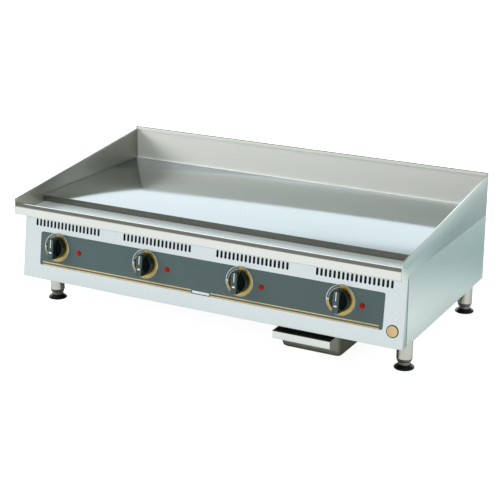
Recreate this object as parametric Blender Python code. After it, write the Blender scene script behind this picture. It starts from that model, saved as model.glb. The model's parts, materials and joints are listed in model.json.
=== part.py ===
"""Countertop electric griddle, 48 inches wide, with four heat zones.

Units are metres, +Z is up and the front faces -Y. The origin is at the centre of the
overall box, on the surface that the feet stand on.
"""

import math

import bmesh
import bpy
from mathutils import Matrix, Vector

# Overall sizes.
WIDTH = 1.219
DEPTH = 0.676
LEG_HEIGHT = 0.100
SHEET = 0.0015
GAP = 0.0003

# Heights above the underside of the body.
SEAM = 0.199
TROUGH_FLOOR = 0.2037
PLATE_THICKNESS = 0.019
PLATE_UNDERSIDE = TROUGH_FLOOR + GAP
PLATE_TOP = PLATE_UNDERSIDE + PLATE_THICKNESS
BACK_SPLASH_TOP = 0.329
SIDE_SPLASH_BACK = 0.322
SIDE_SPLASH_FRONT = 0.247

# Front to back. The nosing is the foremost part and the back splash the rearmost.
FRONT = -DEPTH / 2
BACK = DEPTH / 2
NOSE_OVERHANG = 0.0545
BODY_FRONT = FRONT + NOSE_OVERHANG
PANEL_KICK = 0.0275
PANEL_SETBACK = 0.002
PLATE_FRONT = BODY_FRONT + 0.0885
SIDE = WIDTH / 2

# Control panel. Heights on it are measured up its slope from its lower edge.
ZONE_PITCH = 0.3048
ZONES = 4
ZONE_CENTRES = [ZONE_PITCH * (i - (ZONES - 1) / 2) for i in range(ZONES)]
KNOB_SHIFT = -0.033
KNOB_HEIGHT = 0.104
KNOB_AXES = [x + KNOB_SHIFT for x in ZONE_CENTRES]
LAMP_PITCH = 0.300
LAMP_SHIFT = 0.0365
LAMP_AXES = [LAMP_SHIFT + LAMP_PITCH * (i - (ZONES - 1) / 2) for i in range(ZONES)]
LAMP_HEIGHT = 0.0985
PANEL_TOP = 0.197
OVERLAY_WIDTH = 1.097
OVERLAY_LOW = 0.044
OVERLAY_HIGH = 0.1445
OVERLAY_THICKNESS = 0.0008
SLOTS_IN_GROUP = 18
SLOT_PITCH = 0.0127
SLOT_WIDTH = 0.0072
SLOT_LENGTH = 0.0215
SLOT_HEIGHT = 0.170

# Dial, knob and lamp.
BEZEL_OUTER = 0.0425
BEZEL_INNER = 0.027
SKIRT_RADIUS = 0.0305
GRIP_LENGTH = 0.062
GRIP_WIDTH = 0.021
GRIP_FACE = 0.018
KNOB_STAND = 0.036
SHAFT_RADIUS = 0.003
LENS_RADIUS = 0.0075

# Grease drawer, hung under the body at the trough's drain.
DRAWER_X = 0.331
DRAIN_Y = BODY_FRONT + 0.020
DRAIN_RADIUS = 0.0135
PAN_FRONT = BODY_FRONT - 0.008
PAN_LENGTH = 0.360
PAN_HALF_WIDTH = 0.0965
PAN_RIM = -0.005
PAN_BOTTOM = -0.070
PAN_FLANGE = 0.008
HANDLE_X = 0.323
HANDLE_FRONT = BODY_FRONT - 0.045
HANDLE_HALF_WIDTH = 0.086
HANDLE_BOTTOM = -0.030

# Legs.
LEG_X = 0.570
LEG_FRONT = BODY_FRONT + 0.092
LEG_BACK = BODY_FRONT + 0.585
SLEEVE_RADIUS = 0.02225
ADJUSTER_RADIUS = 0.0175
SLEEVE_END = -0.079
PAD_TOP = -0.088
PAD_RADIUS = 0.0285


def clear_scene():
    for thing in list(bpy.data.objects):
        bpy.data.objects.remove(thing)


def material(name, colour, roughness, metallic):
    made = bpy.data.materials.new(name)
    made.use_nodes = True
    shader = made.node_tree.nodes["Principled BSDF"]
    shader.inputs["Base Color"].default_value = (*colour, 1)
    shader.inputs["Roughness"].default_value = roughness
    shader.inputs["Metallic"].default_value = metallic
    made.diffuse_color = (*colour, 1)
    return made


# Building blocks. Each returns a bmesh holding one closed solid.


def prism(outline, low, high, axis):
    """A flat outline pushed along one axis from low to high; it gives the other two coordinates in order."""
    shape = bmesh.new()
    ends = []
    for level in (low, high):
        corners = []
        for point in outline:
            place = list(point)
            place.insert(axis, level)
            corners.append(shape.verts.new(place))
        ends.append(corners)
    count = len(outline)
    shape.faces.new(ends[0])
    shape.faces.new(ends[1])
    for i in range(count):
        j = (i + 1) % count
        shape.faces.new((ends[0][i], ends[0][j], ends[1][j], ends[1][i]))
    bmesh.ops.recalc_face_normals(shape, faces=shape.faces)
    return shape


def box(low, high):
    outline = [(low[0], low[1]), (high[0], low[1]), (high[0], high[1]), (low[0], high[1])]
    return prism(outline, low[2], high[2], 2)


def arc(centre, radius, start, end, steps):
    """Points on an arc between two angles in degrees."""
    angles = [math.radians(start + (end - start) * i / steps) for i in range(steps + 1)]
    return [(centre[0] + radius * math.cos(a), centre[1] + radius * math.sin(a)) for a in angles]


def rounded_rectangle(low, high, radius, steps=3):
    corners = (
        ((high[0] - radius, low[1] + radius), -90),
        ((high[0] - radius, high[1] - radius), 0),
        ((low[0] + radius, high[1] - radius), 90),
        ((low[0] + radius, low[1] + radius), 180),
    )
    outline = []
    for centre, start in corners:
        outline += arc(centre, radius, start, start + 90, steps)
    return outline


def bent_sheet(path, thickness=SHEET):
    """The outline of a sheet bent along a path, with its thickness on the path's left."""
    points = [Vector(p) for p in path]
    left = []
    for i, point in enumerate(points):
        before = (point - points[i - 1]).normalized() if i else None
        after = (points[i + 1] - point).normalized() if i + 1 < len(points) else None
        sides = [Vector((-d.y, d.x)) for d in (before, after) if d]
        middle = sum(sides, Vector((0, 0))).normalized()
        left.append(point + middle * thickness / middle.dot(sides[0]))
    return [tuple(p) for p in points] + [tuple(p) for p in reversed(left)]


def turned(profile, steps=24):
    """A solid turned about Z from (radius, height) points; a ring if no point is on the axis."""
    shape = bmesh.new()
    rings = []
    for radius, height in profile:
        if radius == 0:
            rings.append([shape.verts.new((0, 0, height))] * steps)
            continue
        angles = [2 * math.pi * i / steps for i in range(steps)]
        ring = [shape.verts.new((radius * math.cos(a), radius * math.sin(a), height)) for a in angles]
        rings.append(ring)
    hollow = all(radius > 0 for radius, _ in profile)
    pairs = list(zip(rings, rings[1:])) + ([(rings[-1], rings[0])] if hollow else [])
    for lower, upper in pairs:
        for i in range(steps):
            j = (i + 1) % steps
            corners = [lower[i], lower[j], upper[j], upper[i]]
            shape.faces.new(list(dict.fromkeys(corners)))
    bmesh.ops.recalc_face_normals(shape, faces=shape.faces)
    return shape


def loft(outlines):
    """A solid through outlines of 3-D points, each with the same number of them; its ends are flat."""
    shape = bmesh.new()
    rings = [[shape.verts.new(p) for p in outline] for outline in outlines]
    count = len(outlines[0])
    for lower, upper in zip(rings, rings[1:]):
        for i in range(count):
            j = (i + 1) % count
            shape.faces.new((lower[i], lower[j], upper[j], upper[i]))
    shape.faces.new(rings[0])
    shape.faces.new(rings[-1])
    bmesh.ops.recalc_face_normals(shape, faces=shape.faces)
    return shape


def joined(shapes):
    """One bmesh that holds several, kept as separate shells; used for cutters."""
    whole = bmesh.new()
    for shape in shapes:
        mesh = bpy.data.meshes.new("scratch")
        shape.to_mesh(mesh)
        shape.free()
        whole.from_mesh(mesh)
        bpy.data.meshes.remove(mesh)
    return whole


def moved(shape, offset=(0, 0, 0), turn=None):
    if turn is not None:
        shape.transform(turn)
    shape.transform(Matrix.Translation(offset))
    return shape


def add(name, shape, finish, smooth=False, parent=None, place=(0, 0, 0)):
    """Makes the named object from a bmesh, with its origin at place."""
    mesh = bpy.data.meshes.new(name)
    shape.to_mesh(mesh)
    shape.free()
    thing = bpy.data.objects.new(name, mesh)
    bpy.context.scene.collection.objects.link(thing)
    thing.data.materials.append(finish)
    if smooth:
        shade(thing)
    thing.parent = parent
    thing.location = place
    return thing


def shade(thing):
    thing.data.shade_smooth()
    thing.data.set_sharp_from_angle(angle=math.radians(35))


def combine(thing, shape, operation="DIFFERENCE"):
    """Cuts shape from the object, or unites it, and keeps the result as the object's mesh."""
    tool = add(thing.name + "_tool", shape, thing.data.materials[0], place=thing.location)
    tool.parent = thing.parent
    modifier = thing.modifiers.new(operation.lower(), "BOOLEAN")
    modifier.operation = operation
    modifier.solver = "EXACT"
    modifier.object = tool
    bpy.context.view_layer.update()
    graph = bpy.context.evaluated_depsgraph_get()
    result = bpy.data.meshes.new_from_object(thing.evaluated_get(graph))
    thing.modifiers.clear()
    thing.data = result
    bpy.data.objects.remove(tool)
    return thing


def copy_of(thing, name, place):
    twin = bpy.data.objects.new(name, thing.data)
    bpy.context.scene.collection.objects.link(twin)
    twin.parent = thing.parent
    twin.location = place
    return twin


def empty(name, place, turn=(0, 0, 0), parent=None):
    made = bpy.data.objects.new(name, None)
    bpy.context.scene.collection.objects.link(made)
    made.location = place
    made.rotation_euler = turn
    made.parent = parent
    return made


clear_scene()

STAINLESS = material("brushed_stainless", (0.62, 0.64, 0.63), 0.35, 1.0)
POLISHED = material("polished_plate_steel", (0.72, 0.74, 0.76), 0.15, 1.0)
DARK_STEEL = material("dark_pan_steel", (0.16, 0.17, 0.15), 0.5, 0.9)
OVERLAY_GREY = material("overlay_grey_green", (0.10, 0.15, 0.15), 0.45, 0.0)
GOLD = material("gold_bezel", (0.56, 0.40, 0.13), 0.35, 1.0)
BLACK_PLASTIC = material("black_phenolic", (0.012, 0.012, 0.012), 0.35, 0.0)
RUBBER = material("black_foot_plastic", (0.010, 0.011, 0.011), 0.45, 0.0)
RED_LENS = material("red_lens", (0.55, 0.01, 0.0), 0.2, 0.0)
ELEMENT = material("element_sheath", (0.20, 0.19, 0.18), 0.5, 0.9)
CERAMIC = material("ceramic_fibre", (0.85, 0.84, 0.80), 0.95, 0.0)
GALVANISED = material("galvanised_steel", (0.55, 0.57, 0.58), 0.45, 0.9)
BRASS = material("brass_bushing", (0.60, 0.48, 0.22), 0.35, 1.0)

body = empty("body_underside", (0, 0, LEG_HEIGHT))


# Casing.

PANEL_LEAN = math.atan2(PANEL_KICK - PANEL_SETBACK, PANEL_TOP)
PANEL_FOOT = (0, BODY_FRONT - PANEL_KICK, 0)
PANEL_TURN = math.pi / 2 - PANEL_LEAN
PANEL_FRAME = Matrix.Translation(PANEL_FOOT) @ Matrix.Rotation(PANEL_TURN, 4, "X")
FACE_IN = SHEET / math.cos(PANEL_LEAN)
SIDE_INNER = SIDE - SHEET
LINING = 0.0135
BACK_SHEET = BACK - 0.0045
INLET_X = -0.45
INLET_Z = 0.060
TERMINAL_Z = 0.172
UPRIGHT = Matrix.Rotation(-math.pi / 2, 4, "X")


def side_panel(name, side):
    """Side sheet with flanges turned in along its top and bottom edges."""
    outer = side * SIDE
    path = [
        (outer - side * 0.012, SEAM),
        (outer, SEAM),
        (outer, 0),
        (outer - side * 0.025, 0),
    ]
    outline = bent_sheet(path, -side * SHEET)
    return add(name, prism(outline, BODY_FRONT, BACK, 1), STAINLESS, parent=body)


def bottom_pan():
    low = SHEET + GAP
    front, back = BODY_FRONT + 0.0005, BACK - 0.001
    path = [(front, 0.020), (front, low), (back, low), (back, 0.020)]
    half = SIDE_INNER - GAP
    pan = add("bottom_pan", prism(bent_sheet(path), -half, half, 0), GALVANISED, parent=body)
    hole = box((DRAWER_X - 0.025, DRAIN_Y - 0.0175, 0), (DRAWER_X + 0.025, DRAIN_Y + 0.0175, 0.01))
    return combine(pan, hole)


def back_panel():
    """Rear sheet, set in from the back edge, with two rows of upright vent slots and the supply hole."""
    half = SIDE_INNER - GAP
    sheet = box((-half, BACK_SHEET - SHEET, 0.004), (half, BACK_SHEET, PANEL_TOP))
    panel = add("back_panel", sheet, STAINLESS, parent=body)
    cutters = [moved(turned(disc(0.0175, -0.01, 0.01), 16), (INLET_X, BACK_SHEET, INLET_Z), UPRIGHT)]
    for middle in (-0.25, 0.25):
        for i in range(10):
            x = middle + (i - 4.5) * 0.022
            low = (x - 0.004, BACK_SHEET - 0.01, 0.085)
            cutters.append(box(low, (x + 0.004, BACK_SHEET + 0.01, 0.125)))
    return combine(panel, joined(cutters))


def front_panel():
    """Leaning control panel, folded back at its lower edge and both ends, with vent slots along its top."""
    foot, top = BODY_FRONT - PANEL_KICK, BODY_FRONT - PANEL_SETBACK
    back = BODY_FRONT - GAP
    half = SIDE_INNER - GAP
    outline = [(foot, 0), (back, 0), (back, PANEL_TOP), (top, PANEL_TOP)]
    panel = add("front_panel", prism(outline, -half, half, 0), STAINLESS, parent=body)
    lean = math.tan(PANEL_LEAN)
    above = PANEL_TOP + 0.01
    hollow = [
        (foot + SHEET * lean + FACE_IN, SHEET),
        (back + 0.01, SHEET),
        (back + 0.01, above),
        (foot + above * lean + FACE_IN, above),
    ]
    combine(panel, prism(hollow, SHEET - half, half - SHEET, 0))
    cutters = []
    for middle in ZONE_CENTRES:
        for i in range(SLOTS_IN_GROUP):
            x = middle + (i - (SLOTS_IN_GROUP - 1) / 2) * SLOT_PITCH
            cutters.append(slot(x))
    return combine(panel, moved(joined(cutters + control_holes()), turn=PANEL_FRAME))


def control_holes():
    """Cutters for the shaft and lamp holes, in the panel's own frame."""
    cutters = [moved(turned(disc(0.009, -0.005, 0.005), 16), (x, KNOB_HEIGHT, 0)) for x in KNOB_AXES]
    cutters += [moved(turned(disc(0.005, -0.005, 0.005), 12), (x, LAMP_HEIGHT, 0)) for x in LAMP_AXES]
    return cutters


def slot(x):
    """Cutter for one vent slot, in the panel's own frame."""
    radius = SLOT_WIDTH / 2
    reach = SLOT_LENGTH / 2 - radius
    outline = arc((x, SLOT_HEIGHT + reach), radius, 0, 180, 3)
    outline += arc((x, SLOT_HEIGHT - reach), radius, 180, 360, 3)
    return prism(outline, -0.005, 0.005, 2)


def disc(radius, low, high):
    """The profile of a plain cylinder, for turned()."""
    return [(0, low), (radius, low), (radius, high), (0, high)]


def back_splash():
    """Rear splash sheet with its top edge folded forward and down into a hem."""
    low = SEAM + GAP
    path = [(BACK, low), (BACK, BACK_SPLASH_TOP), (BACK - 0.0035, BACK_SPLASH_TOP)]
    path.append((BACK - 0.0035, BACK_SPLASH_TOP - 0.010))
    return add("back_splash", prism(bent_sheet(path), -SIDE, SIDE, 0), STAINLESS, parent=body)


def side_splash(name, side):
    """Tapering side splash, which runs forward past the body to close the end of the nosing."""
    outer, inner = side * SIDE, side * SIDE_INNER
    end, low = BACK - 0.004, SEAM + GAP
    ear_back, ear_low = BODY_FRONT - 0.001, SEAM - 0.009
    slope = math.degrees(math.atan2(SIDE_SPLASH_BACK - SIDE_SPLASH_FRONT, end - FRONT))
    radius = 0.004
    outline = [(end, low), (end, SIDE_SPLASH_BACK)]
    outline += arc((FRONT + radius, SIDE_SPLASH_FRONT - radius), radius, 90 + slope, 180, 4)
    outline += [(FRONT, SEAM + 0.001), (FRONT + 0.004, SEAM - 0.003), (ear_back - 0.006, ear_low)]
    outline += [(ear_back, ear_low + 0.004), (ear_back, low)]
    sheet = add(name, prism(outline, min(outer, inner), max(outer, inner), 0), STAINLESS, parent=body)
    hem = 0.009
    front = FRONT + 2 * radius
    rise = math.tan(math.radians(slope))
    edge = [(end, SIDE_SPLASH_BACK), (front, SIDE_SPLASH_BACK - (end - front) * rise)]
    strip = edge + [(y, z - hem) for y, z in reversed(edge)]
    folded = side * (SIDE - 0.0035)
    root = side * (SIDE - 0.001)
    return combine(sheet, prism(strip, min(folded, root), max(folded, root), 0), "UNION")


# Cooking surface and trough.


def griddle_plate():
    """Ground steel plate with softly broken edges."""
    half = SIDE_INNER - 0.0005
    slab = box((-half, PLATE_FRONT, PLATE_UNDERSIDE), (half, BACK - 0.0042, PLATE_TOP))
    plate = add("griddle_plate", slab, POLISHED, parent=body)
    bevel = plate.modifiers.new("broken_edges", "BEVEL")
    bevel.width = 0.0015
    bevel.segments = 2
    return plate


def grease_trough():
    """Front trough and rolled nosing, bent from one sheet, with a round drain over the chute."""
    roll = 0.0127
    roll_height = 0.2183
    foot = SEAM - 0.0004
    fillet = 0.004
    path = [(BODY_FRONT - 0.001, foot)]
    path += arc((FRONT + 0.002, foot + 0.002), 0.002, 270, 180, 2)
    path += arc((FRONT + roll, roll_height), roll, 180, 0, 10)
    path += arc((FRONT + 2 * roll + fillet, TROUGH_FLOOR + fillet), fillet, 180, 270, 3)
    path.append((PLATE_FRONT + 0.008, TROUGH_FLOOR))
    half = SIDE_INNER - 0.0005
    trough = add("grease_trough", prism(bent_sheet(path, -SHEET), -half, half, 0), STAINLESS, parent=body)
    drain = turned(disc(DRAIN_RADIUS, TROUGH_FLOOR - 0.01, TROUGH_FLOOR + 0.01), 20)
    combine(trough, moved(drain, (DRAWER_X, DRAIN_Y, 0)))
    return trough


def grease_chute():
    """Open rectangular duct from the trough's drain down to the drawer."""
    low, high = -0.003, TROUGH_FLOOR - SHEET - GAP
    wall = 0.0012
    half_x, half_y = 0.022, 0.0155
    shell = box((DRAWER_X - half_x, DRAIN_Y - half_y, low), (DRAWER_X + half_x, DRAIN_Y + half_y, high))
    chute = add("grease_chute", shell, GALVANISED, parent=body)
    inner_x, inner_y = half_x - wall, half_y - wall
    corner = (DRAWER_X + inner_x, DRAIN_Y + inner_y, high + 0.01)
    return combine(chute, box((DRAWER_X - inner_x, DRAIN_Y - inner_y, low - 0.01), corner))


# Heating chamber.


def element(number, middle):
    """Sheathed element, bent into four runs under its zone, with both ends brought out forward and low."""
    spread, radius = 0.035, 0.0045
    level = PLATE_UNDERSIDE - GAP - radius
    front, back = PLATE_FRONT + 0.080, BACK - 0.070
    runs = [middle + spread * k for k in (-3, -1, 1, 3)]
    lead = []
    for i in range(7):
        share = i / 6
        drop = (1 - math.cos(math.pi * share)) / 2
        lead.append((BODY_FRONT + 0.095 + 0.038 * share, TERMINAL_Z + (level - TERMINAL_Z) * drop))
    route = [(runs[0], BODY_FRONT + 0.050, TERMINAL_Z)] + [(runs[0], y, z) for y, z in lead]
    for k in range(3):
        turn_y = back if k % 2 == 0 else front
        span = (180, 0) if k % 2 == 0 else (180, 360)
        route += [(x, y, level) for x, y in arc((runs[k] + spread, turn_y), spread, *span, 6)]
    route += [(runs[3], y, z) for y, z in reversed(lead)] + [(runs[3], BODY_FRONT + 0.050, TERMINAL_Z)]
    curve = bpy.data.curves.new(f"heating_element_{number}", "CURVE")
    curve.dimensions = "3D"
    curve.bevel_depth = radius
    curve.bevel_resolution = 1
    curve.use_fill_caps = True
    spline = curve.splines.new("POLY")
    spline.points.add(len(route) - 1)
    for point, place in zip(spline.points, route):
        point.co = (*place, 1)
    tube = bpy.data.objects.new(curve.name, curve)
    bpy.context.scene.collection.objects.link(tube)
    curve.materials.append(ELEMENT)
    tube.parent = body
    return tube


def chamber():
    """Clamp bars, insulation and its tray, and the shield that keeps heat out of the control space."""
    half = SIDE - LINING
    for name, y in (("element_clamp_front", 0.27), ("element_clamp_rear", 0.48)):
        bar = box((-half, BODY_FRONT + y - 0.0125, 0.1900), (half, BODY_FRONT + y + 0.0125, 0.1943))
        add(name, bar, GALVANISED, parent=body)
    front, back, low, high = BODY_FRONT + 0.136, BACK - 0.010, 0.150, 0.186
    path = [(front, high), (front, low), (back, low), (back, high)]
    add("insulation_tray", prism(bent_sheet(path), -half, half, 0), GALVANISED, parent=body)
    inset = SHEET + GAP
    blanket = box((-half, front + inset, low + inset), (half, back - inset, high))
    add("insulation_blanket", blanket, CERAMIC, parent=body)
    wall = BODY_FRONT + 0.080
    path = [(wall - 0.015, 0.0036), (wall, 0.0036), (wall, 0.2015)]
    shield = add("control_heat_shield", prism(bent_sheet(path), -half, half, 0), GALVANISED, parent=body)
    cutters = []
    for middle in ZONE_CENTRES:
        for side in (-0.105, 0.105):
            hole = turned(disc(0.008, -0.01, 0.01), 12)
            cutters.append(moved(hole, (middle + side, wall, TERMINAL_Z), UPRIGHT))
    combine(shield, joined(cutters))


# Electrical pieces.


def thermostat(number, x):
    """Thermostat behind the panel, with its bushing in the panel's hole; it holds the shaft's inner end."""
    case = box((-0.024, -0.026, -0.034), (0.024, 0.026, -0.004))
    part = add(f"thermostat_{number}", case, BLACK_PLASTIC, parent=panel, place=(x, KNOB_HEIGHT, 0))
    combine(part, turned(disc(0.007, -0.006, 0.0002), 16), "UNION")
    return combine(part, turned(disc(SHAFT_RADIUS + GAP, -0.0225, 0.01), 12))


def controls():
    overlay_outline = rounded_rectangle(
        (-OVERLAY_WIDTH / 2, OVERLAY_LOW), (OVERLAY_WIDTH / 2, OVERLAY_HIGH), 0.006
    )
    sheet = prism(overlay_outline, GAP, GAP + OVERLAY_THICKNESS, 2)
    overlay = add("control_overlay", sheet, OVERLAY_GREY, parent=panel)
    combine(overlay, joined(control_holes()))
    face = 2 * GAP + OVERLAY_THICKNESS
    for number, (x, lamp_x) in enumerate(zip(KNOB_AXES, LAMP_AXES), 1):
        centre = (x, KNOB_HEIGHT, 0)
        thermostat(number, x)
        shaft = turned(disc(SHAFT_RADIUS, -0.022, 0.0155), 12)
        add(f"thermostat_shaft_{number}", shaft, GALVANISED, True, panel, centre)
        ring = turned(
            [
                (BEZEL_INNER, face),
                (BEZEL_OUTER, face),
                (BEZEL_OUTER, face + 0.0022),
                (BEZEL_OUTER - 0.0014, face + 0.0022),
                (BEZEL_OUTER - 0.002, face + 0.0012),
                (BEZEL_INNER, face + 0.0012),
            ]
        )
        add(f"dial_bezel_{number}", ring, GOLD, True, panel, centre)
        lamp = turned(
            [
                (0, -0.022),
                (0.006, -0.022),
                (0.006, -0.0021),
                (0.0046, -0.0021),
                (0.0046, face),
                (LENS_RADIUS, face),
                (LENS_RADIUS, face + 0.0015),
                (0.0045, face + 0.0032),
                (0, face + 0.0040),
            ],
            16,
        )
        add(f"indicator_lamp_{number}", lamp, RED_LENS, True, panel, (lamp_x, LAMP_HEIGHT, 0))
    first = knob("knob_1", KNOB_AXES[0])
    for number, x in enumerate(KNOB_AXES[1:], 2):
        copy_of(first, f"knob_{number}", (x, KNOB_HEIGHT, 0))


def knob(name, x):
    """Round skirt with an upright bar grip across it and a blind hole for the shaft."""
    skirt = turned(
        [
            (0, 0.0035),
            (SKIRT_RADIUS - 0.0015, 0.0035),
            (SKIRT_RADIUS, 0.006),
            (SKIRT_RADIUS, 0.0115),
            (SKIRT_RADIUS - 0.0045, 0.0150),
            (0, 0.0155),
        ]
    )
    made = add(name, skirt, BLACK_PLASTIC, parent=panel, place=(x, KNOB_HEIGHT, 0))
    half_length = GRIP_LENGTH / 2
    levels = (
        (0.0090, GRIP_WIDTH / 2, half_length),
        (0.0160, GRIP_WIDTH / 2, half_length),
        (KNOB_STAND - 0.0015, GRIP_FACE / 2 + 0.0008, half_length - 0.0006),
        (KNOB_STAND, GRIP_FACE / 2, half_length - 0.0018),
    )
    outlines = []
    for height, wide, tall in levels:
        outline = rounded_rectangle((-wide, -tall), (wide, tall), 0.0025, 2)
        outlines.append([(px, py, height) for px, py in outline])
    combine(made, loft(outlines), "UNION")
    combine(made, turned(disc(SHAFT_RADIUS + GAP, 0, 0.016), 12))
    shade(made)
    return made


def supply():
    """Terminal block on the bottom pan and the conduit bushing in the back panel."""
    pitch, barriers, wall = 0.020, 4, 0.003
    front, back, low, deep, high = BACK - 0.075, BACK - 0.045, 0.0036, 0.022, 0.036
    outline = [(0, low)]
    for i in range(barriers):
        left = i * pitch
        outline += [(left, high), (left + wall, high), (left + wall, deep), (left + pitch, deep)]
    right = barriers * pitch
    outline += [(right, high), (right + wall, high), (right + wall, low)]
    block = moved(prism(outline, front, back, 1), (INLET_X - right / 2, 0, 0))
    add("terminal_block", block, BLACK_PLASTIC, parent=body)
    bushing = turned(
        [(0.0135, -0.016), (0.017, -0.016), (0.017, GAP), (0.024, GAP), (0.024, 0.0028), (0.0135, 0.0028)]
    )
    outward = moved(bushing, (INLET_X, BACK_SHEET, INLET_Z), UPRIGHT)
    add("conduit_bushing", outward, BRASS, True, body)


# Grease drawer.


def pan_ring(inset, height):
    """One outline of the pan; its front and back walls slope more than its sides."""
    ends = max(inset * 1.3, inset)
    low = (DRAWER_X - PAN_HALF_WIDTH + inset, PAN_FRONT + ends)
    high = (DRAWER_X + PAN_HALF_WIDTH - inset, PAN_FRONT + PAN_LENGTH - ends)
    return [(x, y, height) for x, y in rounded_rectangle(low, high, 0.022 - min(inset, 0.010))]


def drawer():
    """Deep-drawn pan with a flange all round, its pull, and the two rails that the flange slides in."""
    under = PAN_RIM - SHEET
    rings = (
        (0.0165, PAN_BOTTOM),
        (0.0095, PAN_BOTTOM + 0.004),
        (0.0060, PAN_BOTTOM + 0.014),
        (0, under),
        (-PAN_FLANGE, under),
        (-PAN_FLANGE, PAN_RIM),
        (SHEET, PAN_RIM),
        (0.0060 + SHEET, PAN_BOTTOM + 0.0145),
        (0.0110, PAN_BOTTOM + 0.0052),
        (0.0175, PAN_BOTTOM + SHEET),
    )
    add("drawer_pan", loft([pan_ring(*ring) for ring in rings]), DARK_STEEL, parent=body)
    shelf = under - GAP
    path = [(PAN_FRONT - 0.0006, shelf), (HANDLE_FRONT, shelf), (HANDLE_FRONT, HANDLE_BOTTOM)]
    low, high = HANDLE_X - HANDLE_HALF_WIDTH, HANDLE_X + HANDLE_HALF_WIDTH
    add("drawer_handle", prism(bent_sheet(path), low, high, 0), STAINLESS, parent=body)
    web = PAN_HALF_WIDTH + PAN_FLANGE + 0.0015
    lip = PAN_RIM - SHEET - 0.0005
    for name, side in (("drawer_rail_left", -1), ("drawer_rail_right", 1)):
        path = [(web + 0.014, -GAP), (web, -GAP), (web, lip), (web - 0.008, lip)]
        outline = bent_sheet([(DRAWER_X + side * x, z) for x, z in path], side * SHEET)
        rail = prism(outline, BODY_FRONT + 0.002, BODY_FRONT + 0.360, 1)
        add(name, rail, GALVANISED, parent=body)


# Legs.


def leg(corner, x, y):
    """Sleeve fixed under the body, the threaded adjuster that slides in it, and the foot pad on its end."""
    place = (x, y, 0)
    bore = ADJUSTER_RADIUS + GAP
    sleeve = turned(
        [
            (bore, -GAP),
            (SLEEVE_RADIUS, -GAP),
            (SLEEVE_RADIUS, SLEEVE_END + 0.008),
            (ADJUSTER_RADIUS + 0.0018, SLEEVE_END),
            (bore, SLEEVE_END),
        ],
        20,
    )
    add(f"leg_sleeve_{corner}", sleeve, STAINLESS, True, body, place)
    adjuster = turned(disc(ADJUSTER_RADIUS, PAD_TOP, -0.030), 20)
    add(f"leg_adjuster_{corner}", adjuster, STAINLESS, True, body, place)
    top = PAD_TOP - GAP
    pad = turned(
        [
            (0, -LEG_HEIGHT),
            (PAD_RADIUS - 0.0015, -LEG_HEIGHT),
            (PAD_RADIUS, 0.0015 - LEG_HEIGHT),
            (PAD_RADIUS, 0.0035 - LEG_HEIGHT),
            (PAD_RADIUS - 0.0055, 0.0082 - LEG_HEIGHT),
            (ADJUSTER_RADIUS + 0.001, top),
            (0, top),
        ],
        20,
    )
    add(f"foot_pad_{corner}", pad, RUBBER, True, body, place)


panel = empty("panel_foot", PANEL_FOOT, (PANEL_TURN, 0, 0), body)

side_panel("side_panel_left", -1)
side_panel("side_panel_right", 1)
bottom_pan()
back_panel()
front_panel()
back_splash()
side_splash("side_splash_left", -1)
side_splash("side_splash_right", 1)
griddle_plate()
grease_trough()
grease_chute()
for zone, centre_x in enumerate(ZONE_CENTRES, 1):
    element(zone, centre_x)
chamber()
controls()
supply()
drawer()
for end, leg_y in (("front", LEG_FRONT), ("back", LEG_BACK)):
    leg(end + "_left", -LEG_X, leg_y)
    leg(end + "_right", LEG_X, leg_y)
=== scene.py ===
"""Looks of the countertop griddle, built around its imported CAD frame.

Units are metres, the front faces -Y and the feet stand on z = 0.
"""

import json
import math

import bmesh
import bpy
from mathutils import Matrix, Vector


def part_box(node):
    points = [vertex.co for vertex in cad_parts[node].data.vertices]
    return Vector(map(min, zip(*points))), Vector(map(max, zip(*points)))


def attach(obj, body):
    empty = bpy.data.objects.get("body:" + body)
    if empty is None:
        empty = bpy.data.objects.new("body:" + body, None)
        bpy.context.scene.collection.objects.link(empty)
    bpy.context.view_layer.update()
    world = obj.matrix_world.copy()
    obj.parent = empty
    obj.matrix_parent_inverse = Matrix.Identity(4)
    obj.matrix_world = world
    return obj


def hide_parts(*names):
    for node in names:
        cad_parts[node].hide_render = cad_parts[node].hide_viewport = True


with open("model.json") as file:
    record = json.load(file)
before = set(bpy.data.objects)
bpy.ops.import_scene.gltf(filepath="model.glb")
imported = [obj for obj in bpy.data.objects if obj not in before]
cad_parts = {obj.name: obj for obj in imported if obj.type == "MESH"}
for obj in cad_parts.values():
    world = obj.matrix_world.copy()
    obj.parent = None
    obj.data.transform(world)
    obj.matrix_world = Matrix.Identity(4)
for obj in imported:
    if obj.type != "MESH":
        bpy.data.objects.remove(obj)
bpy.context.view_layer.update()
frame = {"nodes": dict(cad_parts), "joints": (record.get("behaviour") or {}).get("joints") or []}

NODES = frame["nodes"]
JOINTS = {joint["name"]: joint for joint in frame["joints"]}

# Sizes, read from the frame where it has them.
SHEET = 0.0015
HEM_DEPTH = 0.0035
CASE_LOW, CASE_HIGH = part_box("side_panel_right")
PANEL_LOW, PANEL_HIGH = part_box("front_panel")
SIDE = CASE_HIGH.x
BASE = CASE_LOW.z
SEAM = CASE_HIGH.z
BODY_FRONT = CASE_LOW.y
BACK = CASE_HIGH.y
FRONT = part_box("grease_trough")[0].y
PLATE_LOW, PLATE_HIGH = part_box("griddle_plate")
DIALS = range(1, 5)
LEAN = math.asin(-Vector(JOINTS["knob_turn_1"]["axis"]).z)
PANEL = Matrix.Translation((0, PANEL_LOW.y, BASE)) @ Matrix.Rotation(math.pi / 2 - LEAN, 4, "X")
ZONE_WIDTH = 0.3048
ZONES = [ZONE_WIDTH * (i - 1.5) for i in range(4)]
SLOT_WIDTH, SLOT_LENGTH, SLOT_HEIGHT = 0.0072, 0.0215, 0.170
SLOT_PITCH, SLOTS_IN_GROUP = 0.0127, 18
SHAFT_HOLE, LAMP_HOLE = 0.009, 0.005
SPLASH_FRONT = BASE + 0.247
DRAIN_X, DRAIN_Y = 0.331, BODY_FRONT + 0.020
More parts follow.
